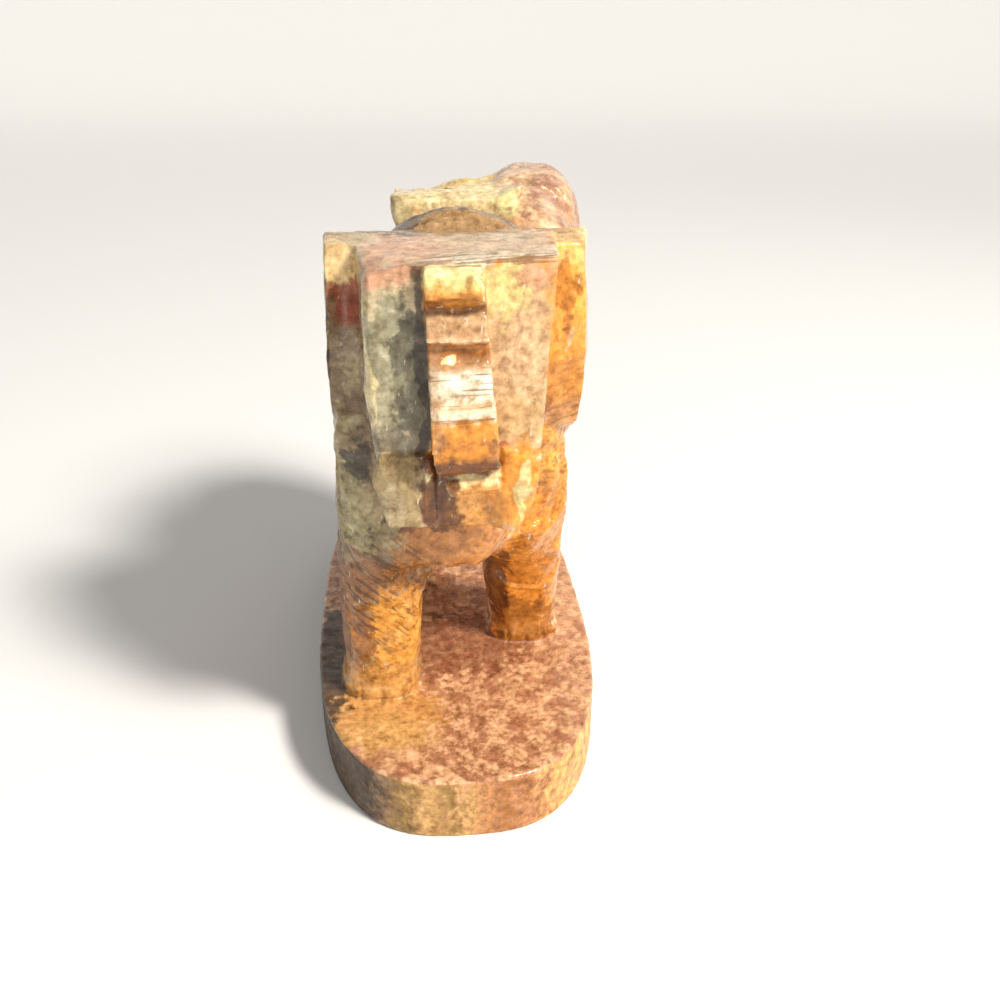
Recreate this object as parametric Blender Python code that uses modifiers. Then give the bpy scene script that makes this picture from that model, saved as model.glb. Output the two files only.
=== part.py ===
"""Soapstone elephant: one carved stone, an elephant walking on its own oval base.

The face looks along -Y. Lengths below are millimetres, in the carver's own measures:
x to the right, back from the front end of the base, up from the base's top face.
"""
import math

import bmesh
import bpy
from mathutils import Vector

MM = 0.001

# base: a thick oval, cut from the same stone
BASE_WIDTH = 50.0
BASE_LENGTH = 108.8
BASE_THICKNESS = 11.0
BASE_SQUARENESS = 2.85      # exponent of the oval, 2 is an ellipse
BASE_EDGE = 0.5             # worn edge of the base

# figure
SIDE = 18.2                 # half width over shoulders and ears
HEAD_TOP = 77.0
CHIN = 39.6
CHEST_BELOW = 26.0          # underside of the chest
FACE_BACK = 5.6             # how far the face stands behind the front end of the base
TRUNK_LEFT = -4.7           # left edge of the trunk at the top of the head
TRUNK_RIGHT = 2.6
TRUNK_LEAN = 0.020          # drift of the left edge, for each millimetre down
TRUNK_SPREAD = 0.075        # the same for the right edge, which stops at TRUNK_WIDEST
TRUNK_WIDEST = 4.8
TRUNK_ROOT = 10.0           # how deep the band runs into the head
CURL_TOP = 52.0             # below this the left edge tucks in
CURL_TUCK = 2.6
LIP_DROP = 0.9              # the lip under the curl hangs lower on the left

SKIN_VOXEL = 1.1            # grain of the blended body
SKIN_RATIO = 0.15           # share of the blended body's faces that is kept


def at(x, back, up):
    """Place in metres from the carver's measures, on a base centred at the origin."""
    return Vector((x, back - BASE_LENGTH / 2, up + BASE_THICKNESS)) * MM


def clearScene():
    for item in list(bpy.data.objects):
        bpy.data.objects.remove(item, do_unlink=True)


def collectionNamed(name):
    found = bpy.data.collections.new(name)
    bpy.context.scene.collection.children.link(found)
    return found


def objectFrom(bm, name, home):
    bmesh.ops.recalc_face_normals(bm, faces=bm.faces)
    mesh = bpy.data.meshes.new(name)
    bm.to_mesh(mesh)
    bm.free()
    item = bpy.data.objects.new(name, mesh)
    home.objects.link(item)
    return item


def hullOf(name, corners, home):
    """A chisel-cut block: the hull of its corners, each as (x, back, up)."""
    bm = bmesh.new()
    for corner in corners:
        bm.verts.new(at(*corner))
    made = bmesh.ops.convex_hull(bm, input=bm.verts)
    spare = [g for g in made["geom_interior"] if isinstance(g, bmesh.types.BMVert)]
    bmesh.ops.delete(bm, geom=spare, context="VERTS")
    return objectFrom(bm, name, home)


def roundedRing(halfA, halfB, exponent, count):
    """Points of a superellipse, as (a, b)."""
    ring = []
    for step in range(count):
        angle = 2 * math.pi * (step + 0.5) / count
        c, s = math.cos(angle), math.sin(angle)
        ring.append((math.copysign(abs(c) ** (2 / exponent), c) * halfA,
                     math.copysign(abs(s) ** (2 / exponent), s) * halfB))
    return ring


def loftThrough(name, rings, home):
    """A closed skin through rings that have the same number of points."""
    bm = bmesh.new()
    loops = [[bm.verts.new(at(*point)) for point in ring] for ring in rings]
    count = len(loops[0])
    for lower, upper in zip(loops, loops[1:]):
        for step in range(count):
            after = (step + 1) % count
            bm.faces.new((lower[step], lower[after], upper[after], upper[step]))
    bm.faces.new(loops[0])
    bm.faces.new(loops[-1])
    return objectFrom(bm, name, home)


def bodyLoft(name, stations, home, count=36):
    """Sections across the figure: (back, middle x, half width, underside, top, exponent)."""
    rings = []
    for back, middle, half, under, top, exponent in stations:
        ring = roundedRing(half, (top - under) / 2, exponent, count)
        rings.append([(middle + a, back, (top + under) / 2 + b) for a, b in ring])
    return loftThrough(name, rings, home)


def legLoft(name, stations, home, count=24, exponent=2.8):
    """Level sections of a leg: (up, x, back, half width, half depth)."""
    rings = []
    for up, x, back, halfWidth, halfDepth in stations:
        ring = roundedRing(halfWidth, halfDepth, exponent, count)
        rings.append([(x + a, back + b, up) for a, b in ring])
    return loftThrough(name, rings, home)


def boulder(name, centre, halves, exponent, home):
    """A rounded lump: a sphere pushed towards a box by its exponent."""
    bm = bmesh.new()
    bmesh.ops.create_uvsphere(bm, u_segments=28, v_segments=18, radius=1.0)
    power = 2 / exponent
    for vert in bm.verts:
        flat = math.hypot(vert.co.x, vert.co.y)
        turn = math.atan2(vert.co.y, vert.co.x)
        ring = flat ** power
        x = math.copysign(abs(math.cos(turn)) ** power, math.cos(turn)) * ring
        y = math.copysign(abs(math.sin(turn)) ** power, math.sin(turn)) * ring
        z = math.copysign(abs(vert.co.z) ** power, vert.co.z)
        vert.co = at(centre[0] + x * halves[0], centre[1] + y * halves[1],
                     centre[2] + z * halves[2])
    return objectFrom(bm, name, home)


def makeBase(home):
    ring = roundedRing(BASE_WIDTH / 2, BASE_LENGTH / 2, BASE_SQUARENESS, 96)
    middle = BASE_LENGTH / 2
    rings = [[(a, middle + b, up) for a, b in ring] for up in (-BASE_THICKNESS, 0.0)]
    base = loftThrough("oval_base", rings, home)
    edge = base.modifiers.new("worn_edge", "BEVEL")
    edge.width = BASE_EDGE * MM
    edge.segments = 2
    edge.limit_method = "ANGLE"
    edge.angle_limit = math.radians(50)
    return base


def makeBody(home):
    """Barrel, rump, haunches, legs and tail, blended into one skin."""
    barrel = bodyLoft("barrel", [
        (15.4, -6.0, 10.2, 29.0, 50.0, 3.2),
        (17.2, -5.6, 12.6, 26.6, 60.0, 4.2),
        (22.0, -4.4, 13.8, CHEST_BELOW - 0.6, 68.0, 4.2),
        (27.0, -2.2, 15.6, CHEST_BELOW - 0.6, 71.0, 3.8),
        (33.0, -0.4, 17.2, CHEST_BELOW - 0.4, 73.0, 4.2),
        (40.0, 0.8, 17.2, CHEST_BELOW, 72.5, 3.8),
        (50.0, 3.0, 17.2, CHEST_BELOW + 1.5, 73.0, 3.2),
        (58.0, 5.6, 17.4, CHEST_BELOW + 2.0, 76.0, 2.8),
        (66.0, 7.0, 17.4, CHEST_BELOW + 0.5, 78.3, 2.6),
        (74.0, 7.0, 17.0, CHEST_BELOW - 1.0, 77.2, 2.5),
        (82.0, 6.2, 16.0, CHEST_BELOW - 2.0, 72.6, 2.5),
        (89.0, 5.2, 13.6, CHEST_BELOW, 65.0, 2.5),
        (94.0, 4.6, 9.6, CHEST_BELOW + 5.0, 56.0, 2.4),
        (96.0, 4.4, 4.0, CHEST_BELOW + 13.0, 49.0, 2.2),
    ], home)
    parts = [
        boulder("crown", (0.9, 33.0, 60.0), (17.4, 10.0, 18.8), 2.0, home),
        boulder("shoulder_left", (-9.6, 28.0, 44.0), (8.6, 11.5, 24.0), 3.0, home),
        boulder("shoulder_right", (9.3, 33.0, 46.0), (8.6, 12.5, 25.0), 2.8, home),
        boulder("rump_high", (15.8, 68.0, 65.4), (9.2, 17.0, 14.9), 2.7, home),
        boulder("haunch_right", (13.8, 58.0, 54.0), (11.3, 19.0, 25.0), 2.3, home),
        boulder("haunch_rear", (13.2, 76.0, 50.0), (10.8, 16.0, 24.0), 2.1, home),
        boulder("haunch_left", (-2.0, 75.0, 47.0), (10.4, 17.0, 23.0), 2.1, home),
        legLoft("leg_front_left", [
            (-1.0, -13.3, 29.4, 6.9, 8.8),
            (2.2, -13.2, 29.0, 6.6, 8.0),
            (5.0, -12.9, 28.6, 6.3, 7.4),
            (12.0, -12.6, 27.2, 6.8, 7.6),
            (21.0, -12.2, 26.2, 7.1, 8.6),
            (30.0, -11.8, 26.0, 7.4, 9.6),
            (40.0, -10.6, 26.0, 8.0, 9.8),
        ], home),
        legLoft("leg_front_right", [
            (-1.0, 12.9, 44.0, 6.8, 8.2),
            (2.2, 12.8, 43.8, 6.5, 7.5),
            (5.0, 12.6, 43.4, 6.2, 7.0),
            (13.0, 12.2, 41.6, 6.9, 7.6),
            (22.0, 12.0, 37.6, 7.0, 8.8),
            (31.0, 11.4, 34.0, 7.2, 10.4),
            (41.0, 10.4, 31.0, 7.8, 11.4),
        ], home),
        legLoft("leg_hind_left", [
            (-1.0, -7.4, 90.6, 6.8, 8.0),
            (2.2, -7.3, 90.4, 6.5, 7.3),
            (6.0, -6.8, 89.6, 6.2, 6.9),
            (15.0, -5.6, 87.0, 6.9, 7.8),
            (26.0, -4.0, 83.0, 8.0, 9.8),
            (38.0, -2.8, 79.5, 8.6, 11.5),
        ], home),
        legLoft("leg_hind_right", [
            (-1.0, 15.0, 74.6, 6.8, 8.0),
            (2.2, 15.0, 74.4, 6.5, 7.3),
            (6.0, 15.0, 74.4, 6.2, 6.9),
            (15.0, 15.2, 75.0, 6.9, 7.8),
            (26.0, 15.4, 74.0, 8.2, 9.8),
            (38.0, 15.4, 71.0, 9.0, 12.0),
        ], home),
        legLoft("tail", [
            (17.0, 5.2, 95.4, 2.3, 2.0),
            (22.0, 5.2, 95.8, 2.8, 2.4),
            (27.0, 5.0, 95.6, 1.9, 2.1),
            (40.0, 4.6, 96.6, 2.0, 2.4),
            (54.0, 4.6, 94.8, 2.2, 2.6),
            (66.0, 5.0, 88.0, 2.8, 3.0),
        ], home, 14, 2.2),
    ]
    for part in parts:
        join = barrel.modifiers.new(part.name, "BOOLEAN")
        join.operation = "UNION"
        join.solver = "EXACT"
        join.object = part
    blend = barrel.modifiers.new("blend", "REMESH")
    blend.mode = "VOXEL"
    blend.voxel_size = SKIN_VOXEL * MM
    relax = barrel.modifiers.new("relax", "SMOOTH")
    relax.factor = 0.5
    relax.iterations = 7
    thin = barrel.modifiers.new("thin", "DECIMATE")
    thin.ratio = SKIN_RATIO
    return [barrel]


def trunkBand(home):
    """The trunk: one stepped band down the face, its front edge as (back, up)."""
    front = [(3.8, 76.3), (2.4, 75.4), (2.1, 72.8), (4.7, 71.0), (4.0, 70.2), (3.7, 67.9),
             (3.0, 67.3), (4.6, 66.3), (4.0, 64.4), (2.8, 63.4), (0.7, 58.9), (0.3, 57.4),
             (0.3, 55.0), (0.9, 52.2), (2.2, 50.3), (4.4, 49.2), (3.2, 48.0), (3.3, 46.8),
             (5.6, 45.6), (6.3, 43.0), (6.5, 40.2)]
    outline = front + [(TRUNK_ROOT, front[-1][1]), (TRUNK_ROOT, front[0][1])]
    sides = []
    for left in (True, False):
        side = []
        for back, up in outline:
            down = HEAD_TOP - up
            if left:
                tuck = min(max(0.0, CURL_TOP - up) * 0.42, CURL_TUCK)
                x = TRUNK_LEFT + TRUNK_LEAN * down + tuck
                drop = LIP_DROP if 46.0 < up < 51.0 else 0.0
            else:
                x = min(TRUNK_RIGHT + TRUNK_SPREAD * down, TRUNK_WIDEST)
                drop = 0.0
            side.append((x, back, up - drop))
        sides.append(side)
    return loftThrough("trunk", sides, home)


def earOf(name, way, corner, home):
    """An ear: a fan-shaped slab, flat on top. way is -1 on the left, corner its rear top."""
    rim = [(18.2, 69.0, 17.9), (20.0, 76.0, 17.6), corner, (34.5, 74.0, SIDE)]
    for step in range(9):
        turn = math.radians(25 - step * 25)
        rim.append((28.6 + 12.4 * math.cos(turn), 62.0 + 16.0 * math.sin(turn), 18.0))
    corners = []
    for back, up, half in rim:
        corners.append((way * half, back, up))
        corners.append((way * 12.0, back - 0.8, up))
    return hullOf(name, corners, home)


def makeHead(home):
    """Face block, trunk, cheeks and ears, left as the chisel cut them."""
    f = FACE_BACK
    block = [(-11.6, f + 0.5, 74.8), (-12.4, f + 1.8, 73.6), (-6.8, f, 76.2), (12.1, f, 77.3),
             (-11.8, f + 0.1, 60.0), (-12.7, f + 1.4, 60.0), (-10.8, f, 51.0), (-11.6, f + 1.0, 51.0),
             (11.1, f, 65.0), (10.4, f, 51.0), (-10.0, f + 1.2, CHIN + 0.3), (7.2, f + 1.2, CHIN),
             (-12.4, 28.0, CHIN + 2.0), (12.0, 28.0, CHIN + 2.0), (-14.0, 28.0, 76.3),
             (14.0, 28.0, 76.5), (-13.4, 18.0, 76.0), (13.4, 18.0, 77.0)]
    return [
        hullOf("face_block", block, home),
        trunkBand(home),
        hullOf("cheek_left", [
            (-11.3, f - 0.7, 51.3), (-4.0, f - 0.6, 51.5), (-12.3, f - 0.2, 47.4),
            (-10.2, f - 0.5, 40.6), (-3.6, f + 0.5, 39.9), (-7.2, f - 1.7, 46.5),
            (-10.4, f - 1.2, 47.4), (-11.0, 12.0, 50.4), (-3.6, 12.0, 50.8), (-9.6, 12.0, 40.5),
            (-3.6, 12.0, 40.1)], home),
        hullOf("cheek_right", [
            (5.4, f - 0.2, 52.0), (10.7, f - 0.3, 50.8), (10.3, f - 0.9, 47.6), (8.0, f - 1.6, 46.6),
            (9.4, f - 0.7, 43.2), (6.9, f - 0.6, 39.3), (3.4, f + 0.4, 39.9), (5.4, f - 1.0, 45.0),
            (10.2, 12.0, 50.0), (5.0, 12.0, 51.0), (9.0, 12.0, 42.0), (6.4, 12.0, 40.0)], home),
        earOf("ear_left", -1, (28.2, 76.3, 18.3), home),
        earOf("ear_right", 1, (28.2, 76.6, 19.4), home),
    ]


def makePad(home):
    """The flat cut pad on the back, with a flared corner at each end."""
    return [
        hullOf("back_pad", [
            (-8.4, 50.5, 74.0), (-8.8, 51.5, 77.3), (-8.6, 60.0, 77.4), (8.0, 50.5, 76.9),
            (-8.0, 50.0, 76.8), (-6.5, 51.0, 68.0), (8.0, 51.0, 68.0), (13.0, 60.0, 69.0),
            (-6.5, 62.0, 68.0), (12.0, 60.0, 78.4)], home),
        hullOf("pad_corner", [
            (8.0, 50.5, 76.9), (12.6, 50.0, 79.2), (13.4, 60.0, 78.6), (9.6, 48.8, 73.5),
            (7.0, 51.5, 70.0), (13.0, 56.0, 70.0), (6.0, 58.0, 76.0)], home),
    ]


def stoneMaterial():
    stone = bpy.data.materials.new("soapstone")
    stone.use_nodes = True
    shader = stone.node_tree.nodes["Principled BSDF"]
    shader.inputs["Base Color"].default_value = (0.50, 0.24, 0.09, 1.0)
    shader.inputs["Roughness"].default_value = 0.35
    shader.inputs["Metallic"].default_value = 0.0
    return stone


def main():
    clearScene()
    work = collectionNamed("soapstone_elephant")
    tools = collectionNamed("carving_volumes")
    base = makeBase(work)
    base.name = "elephant_carving"
    for volume in makeBody(tools) + makeHead(tools) + makePad(tools):
        join = base.modifiers.new(volume.name, "BOOLEAN")
        join.operation = "UNION"
        join.solver = "EXACT"
        join.object = volume
    base.data.materials.append(stoneMaterial())
    for item in tools.objects:
        item.hide_render = True
        item.display_type = "WIRE"


main()
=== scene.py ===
import math
import random

import bmesh
import bpy
import numpy as np
from mathutils import Matrix, Vector, noise


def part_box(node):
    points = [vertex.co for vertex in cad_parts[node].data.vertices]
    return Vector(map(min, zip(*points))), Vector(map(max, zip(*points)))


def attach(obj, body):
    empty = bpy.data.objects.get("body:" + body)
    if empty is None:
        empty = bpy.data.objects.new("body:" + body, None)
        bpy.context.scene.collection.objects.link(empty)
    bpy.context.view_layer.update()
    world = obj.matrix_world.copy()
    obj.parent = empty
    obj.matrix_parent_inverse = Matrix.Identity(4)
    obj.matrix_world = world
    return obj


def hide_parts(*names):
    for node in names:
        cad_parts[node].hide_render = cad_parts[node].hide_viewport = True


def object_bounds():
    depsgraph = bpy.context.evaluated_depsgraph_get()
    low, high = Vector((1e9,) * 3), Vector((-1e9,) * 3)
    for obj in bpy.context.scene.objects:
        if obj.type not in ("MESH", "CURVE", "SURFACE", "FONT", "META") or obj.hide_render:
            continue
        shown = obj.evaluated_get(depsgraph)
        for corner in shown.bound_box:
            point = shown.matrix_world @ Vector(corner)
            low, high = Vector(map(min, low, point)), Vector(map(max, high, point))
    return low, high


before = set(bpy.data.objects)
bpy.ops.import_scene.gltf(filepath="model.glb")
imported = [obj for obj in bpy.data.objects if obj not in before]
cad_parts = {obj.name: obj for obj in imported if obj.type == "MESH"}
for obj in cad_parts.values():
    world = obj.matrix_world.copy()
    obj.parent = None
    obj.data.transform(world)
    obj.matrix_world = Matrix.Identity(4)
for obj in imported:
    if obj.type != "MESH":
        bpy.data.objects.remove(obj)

cadBox = [Vector(corner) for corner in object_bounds()]
mm = 0.001
lowest = Vector(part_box("elephant_carving")[0])
frontEnd = lowest.y
baseThick = 11.0 * mm


# the carver's measures: x to the right, back from the front of the base, up from its top face
def place(x, back, up):
    return Vector((x * mm, frontEnd + back * mm, lowest.z + baseThick + up * mm))


# lengths in mm
stone = {
    "merge": 0.01,              # corners closer than this are one corner
    "voxel": 0.30,              # grain of the carved skin
    "relax": 2,                 # smoothing passes over saw-toothed edges
    "triangles": 192000,
    "facetSeed": 7,
    "facets": 230,              # flat knife cuts scattered over the rounded parts
    "facetSpan": (3.0, 6.5),
    "facetDepth": (0.14, 0.42),
    "facetLow": 3.0,            # no scattered cuts below this, in front of that, or on the head
    "facetFront": 15.0,
    "headEnd": 29.0,
    "headFoot": 45.0,
    "skinNoise": 0.15,
    "skinWaves": (0.33, 0.9),   # fine unevenness, in waves to the mm
    "lumpNoise": 0.42,          # coarser carving, behind and above the places below
    "lumpWaves": 0.17,
    "lumpFront": 40.0,
    "lumpLow": 26.0,
    "lumpFade": 6.0,
    "plainFoot": 1.5,           # the skin stays true over this height above the underside
}

knife = {"facing": 0.2, "fade": 0.25, "bite": 1.6}     # least facing, soft edge and most depth of a cut
thumbFall = 1.6                                        # how fast a pressed place dies away


def coordsOf(mesh):
    flat = np.empty(len(mesh.vertices) * 3)
    mesh.vertices.foreach_get("co", flat)
    return flat.reshape(-1, 3)


def normalsOf(mesh):
    flat = np.empty(len(mesh.vertices) * 3)
    mesh.vertex_normals.foreach_get("vector", flat)
    return flat.reshape(-1, 3)


def setCoords(mesh, coords):
    mesh.vertices.foreach_set("co", coords.ravel())
    mesh.update()


def applyModifiers(piece):
    depsgraph = bpy.context.evaluated_depsgraph_get()
    done = bpy.data.meshes.new_from_object(piece.evaluated_get(depsgraph))
    old = piece.data
    piece.modifiers.clear()
    piece.data = done
    bpy.data.meshes.remove(old)


def roughStone():
    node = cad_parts["elephant_carving"]
    bm = bmesh.new()
    bm.from_mesh(node.data)
    bmesh.ops.remove_doubles(bm, verts=bm.verts, dist=stone["merge"] * mm)
    mesh = bpy.data.meshes.new("carvedElephant")
    bm.to_mesh(mesh)
    bm.free()
    piece = bpy.data.objects.new("carvedElephant", mesh)
    bpy.context.scene.collection.objects.link(piece)
    skin = piece.modifiers.new("skin", "REMESH")
    skin.mode = "VOXEL"
    skin.voxel_size = stone["voxel"] * mm
    relax = piece.modifiers.new("relax", "SMOOTH")
    relax.factor = 0.5
    relax.iterations = stone["relax"]
    applyModifiers(piece)
    return piece


def flatCut(coords, normals, centre, facing, span, depth):
    # a knife cut: what stands above the cutting plane is brought down to it
    facing = facing / np.linalg.norm(facing)
    offset = coords - centre
    near = np.einsum("ij,ij->i", offset, offset) < span * span
    rise = offset @ facing + depth
    hit = near & (rise > 0) & (normals @ facing > knife["facing"])
    reach = np.sqrt(np.einsum("ij,ij->i", offset[hit], offset[hit])) / span
    fade = np.clip((1.0 - reach) / knife["fade"], 0.0, 1.0)
    coords[hit] -= np.outer(np.minimum(rise[hit], depth * knife["bite"]) * fade, facing)


def scatterFacets(coords, normals):
    draw = random.Random(stone["facetSeed"])
    up = (coords[:, 2] - (lowest.z + baseThick)) / mm
    back = (coords[:, 1] - frontEnd) / mm
    head = (back < stone["headEnd"]) & (up > stone["headFoot"])
    free = np.flatnonzero((up > stone["facetLow"]) & (back > stone["facetFront"]) & ~head)
    for _ in range(stone["facets"]):
        pick = free[draw.randrange(len(free))]
        span = draw.uniform(*stone["facetSpan"]) * mm
        depth = draw.uniform(*stone["facetDepth"]) * mm
        flatCut(coords, normals, coords[pick].copy(), normals[pick].copy(), span, depth)


namedCuts = {
    # place, way it faces, span, depth, all in mm
    "rump corner right": ((23.2, 58.0, 79.0), (0.75, -0.45, 0.55), 9.0, 1.3),
    "rump top": ((15.5, 62.0, 81.0), (-0.15, -0.35, 0.95), 8.0, 0.7),
    "rump front": ((16.5, 54.5, 74.0), (0.1, -1.0, 0.25), 8.0, 0.9),
    "left shoulder": ((-14.5, 17.5, 40.0), (-0.35, -0.92, 0.2), 8.0, 0.7),
    "right shoulder": ((13.5, 23.0, 38.0), (0.45, -0.85, -0.1), 8.0, 0.8),
    "left shin": ((-12.0, 20.0, 14.0), (-0.1, -0.98, 0.1), 8.0, 0.5),
    "right shin": ((13.0, 34.0, 14.0), (0.1, -0.98, 0.25), 8.0, 0.5),
    "left haunch": ((-11.0, 74.0, 50.0), (-0.9, -0.2, 0.35), 10.0, 0.8),
    "left rib": ((-16.4, 45.0, 48.0), (-1.0, 0.05, 0.1), 11.0, 0.4),
}


def pressed(coords, normals, centre, reach, depth):
    # a thumb-shaped hollow, or a swelling where depth is below nought
    shape = (coords - np.array(centre)) / (np.array(reach) * mm)
    near = np.exp(-np.einsum("ij,ij->i", shape, shape) * thumbFall)
    coords -= normals * (near * depth * mm)[:, None]


feet = {
    # middle of each foot as x and back, its half width and half depth
    "front left": (-13.2, 29.0, 6.8, 8.2),
    "front right": (12.8, 43.8, 6.6, 7.7),
    "hind left": (-7.3, 90.4, 6.6, 7.5),
    "hind right": (15.0, 74.4, 6.6, 7.5),
}

hollows = [
    # place, reach and depth of each scooped place; a swelling has a depth below nought
    ((-15.4, 18.0, 68.4), (2.4, 3.2, 6.0), 1.0),
    ((-14.6, 20.0, 45.5), (2.6, 5.0, 5.5), 1.2),
    ((14.6, 17.2, 64.0), (1.5, 2.4, 9.0), 0.6),
    ((7.4, 32.0, 18.0), (2.0, 6.0, 8.0), 0.5),
    ((2.6, 3.0, 75.2), (0.8, 1.6, 0.9), 0.9),
    ((3.0, 3.0, 73.2), (0.7, 1.6, 0.7), 0.6),
    ((-1.0, 2.6, 72.2), (2.6, 1.6, 0.9), 0.35),
    ((-2.2, 4.0, 64.6), (0.9, 1.4, 0.9), -0.35),
    ((20.0, 56.0, 70.0), (3.0, 4.0, 3.0), 0.7),
    ((12.4, 60.0, 76.0), (1.6, 6.0, 3.0), 0.8),
    ((15.0, 66.0, 81.0), (3.0, 3.0, 2.0), 0.5),
    ((-9.0, 20.0, 22.0), (2.6, 4.0, 5.0), 0.35),
]


eyes = {
    "place": (12.4, 11.8, 64.0),             # out to each side, back, up
    "socket": ((3.0, 3.6, 2.5), 1.25),       # reach and depth
    "ball": ((2.4, 1.7, 1.1), -1.5),
}


def carveDetails(coords, normals):
    for spot, facing, span, depth in namedCuts.values():
        flatCut(coords, normals, np.array(place(*spot)), np.array(facing), span * mm, depth * mm)
    for side in (-1, 1):
        out, back, up = eyes["place"]
        for part in ("socket", "ball"):
            pressed(coords, normals, place(side * out, back, up), *eyes[part])
    for spot, reach, depth in hollows:
        pressed(coords, normals, place(*spot), reach, depth)


# mm, but for "wide", which is in half widths of the foot
welt = {"low": 0.12, "rise": 0.5, "top": 2.5, "fall": 0.35, "wide": 1.55, "high": 3.2, "depth": 0.28}
toes = {"steps": (-0.5, 0.0, 0.5), "round": 0.16, "up": 1.3, "reach": (0.5, 2.0, 1.5), "depth": 0.5}


def markFeet(coords, normals):
    # a low welt round each foot, and short toe cuts in its front
    up = (coords[:, 2] - lowest.z) / mm - baseThick / mm
    for x, back, wide, deep in feet.values():
        middle = np.array(place(x, back, 0.0))
        across = (coords[:, 0] - middle[0]) / (wide * mm)
        along = (coords[:, 1] - middle[1]) / (deep * mm)
        ring = np.sqrt(across ** 2 + along ** 2)
        near = (ring < welt["wide"]) & (up > welt["low"]) & (up < welt["high"])
        rise = np.clip((up - welt["low"]) / welt["rise"], 0.0, 1.0)
        rise = rise * np.clip((welt["top"] - up) / welt["fall"], 0.0, 1.0)
        push = np.where(near, rise, 0.0) * welt["depth"] * mm
        coords[:, 0] += push * across / np.maximum(ring, 0.1)
        coords[:, 1] += push * along / np.maximum(ring, 0.1)
        for step in toes["steps"]:
            toe = place(x + step * wide, back - deep * (1.0 - toes["round"] * abs(step)), toes["up"])
            pressed(coords, normals, toe, toes["reach"], toes["depth"])


earRim = {
    "out": 17.4, "back": 28.6, "up": 62.0, "halfDepth": 13.2, "halfHeight": 16.8,
    "start": 35, "sweep": 215, "cuts": 30,       # degrees, and how many cuts make the line
    "reach": (2.4, 1.2, 1.2), "depth": 0.55,
}


def grooveEars(coords, normals):
    # a scored line where the back and the foot of each ear meet the neck
    for side in (-1, 1):
        for step in range(earRim["cuts"]):
            turn = math.radians(earRim["start"] - step * earRim["sweep"] / earRim["cuts"])
            back = earRim["back"] + earRim["halfDepth"] * math.cos(turn)
            up = earRim["up"] + earRim["halfHeight"] * math.sin(turn)
            spot = place(side * earRim["out"], back, up)
            pressed(coords, normals, spot, earRim["reach"], earRim["depth"])


relief = {
    # region middle, reach, slope of the strokes in degrees, pitch and depth in mm
    "leading leg rasp": ((-13.0, 22.0, 23.0), (10.0, 9.0, 13.0), -42.0, 1.15, 0.17),
    "right shoulder rasp": ((15.5, 26.0, 38.0), (6.0, 12.0, 15.0), 24.0, 1.25, 0.13),
    "left flank rasp": ((-14.5, 44.0, 48.0), (7.0, 16.0, 20.0), 12.0, 1.9, 0.10),
    "rump rasp": ((14.0, 84.0, 52.0), (15.0, 16.0, 22.0), -18.0, 2.1, 0.12),
}


# how strokes are stretched, which layer of noise they read, and how boldly they cut
raspMark = {"sideShare": 0.7, "length": 0.13, "layer": 3.1, "more": 0.1, "gain": 2.0}

sawLines = {
    # where the lines lie, then their rate along the surface, how they wander, and their depth
    "trunk": {"reach": 5.4, "low": 57.6, "high": 63.6, "back": 5.0,
              "rate": 7.4, "wander": 0.7, "depth": 0.11},
    "brow": {"left": -7.5, "right": 11.6, "up": 74.5, "front": 5.8, "back": 9.4,
             "rate": 6.6, "wander": 0.3, "depth": 0.12},
}


def softRegion(offset, reach):
    # whole in the middle, dying away towards the edge
    shape = offset / np.array(reach)
    return np.clip(1.6 - 1.4 * np.sqrt(np.einsum("ij,ij->i", shape, shape)), 0.0, 1.0)


def sawWave(level, x, saw):
    return (0.5 + 0.5 * np.sin(level * saw["rate"] + np.sin(x * saw["wander"]))) * saw["depth"] * mm


def cutStrokes(coords, normals):
    # rasp strokes: noise pulled out along the way the tool went
    made = np.column_stack((coords[:, 0] / mm, (coords[:, 1] - frontEnd) / mm,
                            (coords[:, 2] - lowest.z - baseThick) / mm))
    for middle, reach, slope, pitch, depth in relief.values():
        offset = made - np.array(middle)
        region = softRegion(offset, reach)
        lean = math.radians(slope)
        level = offset[:, 0] + offset[:, 1] * raspMark["sideShare"]
        along = level * math.cos(lean) + offset[:, 2] * math.sin(lean)
        across = -level * math.sin(lean) + offset[:, 2] * math.cos(lean)
        for index in np.flatnonzero(region > 0.0):
            spot = Vector((along[index] * raspMark["length"], across[index] / pitch, raspMark["layer"]))
            cut = max(0.0, noise.noise(spot) + raspMark["more"]) * depth * raspMark["gain"] * mm
            coords[index] -= normals[index] * (cut * region[index])
    # saw lines, across the trunk's flat and along the front of the head
    x, back, up = made.T
    saw = sawLines["trunk"]
    flat = (back < saw["back"]) & (np.abs(x) < saw["reach"]) & (up > saw["low"]) & (up < saw["high"])
    flat = flat & (normals[:, 1] < -0.3)
    coords[flat, 1] += sawWave(up[flat], x[flat], saw)
    saw = sawLines["brow"]
    brow = (up > saw["up"]) & (back > saw["front"]) & (back < saw["back"]) & (x > saw["left"])
    brow = brow & (x < saw["right"]) & (normals[:, 2] > 0.8)
    coords[brow, 2] -= sawWave(back[brow], x[brow], saw)


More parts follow.
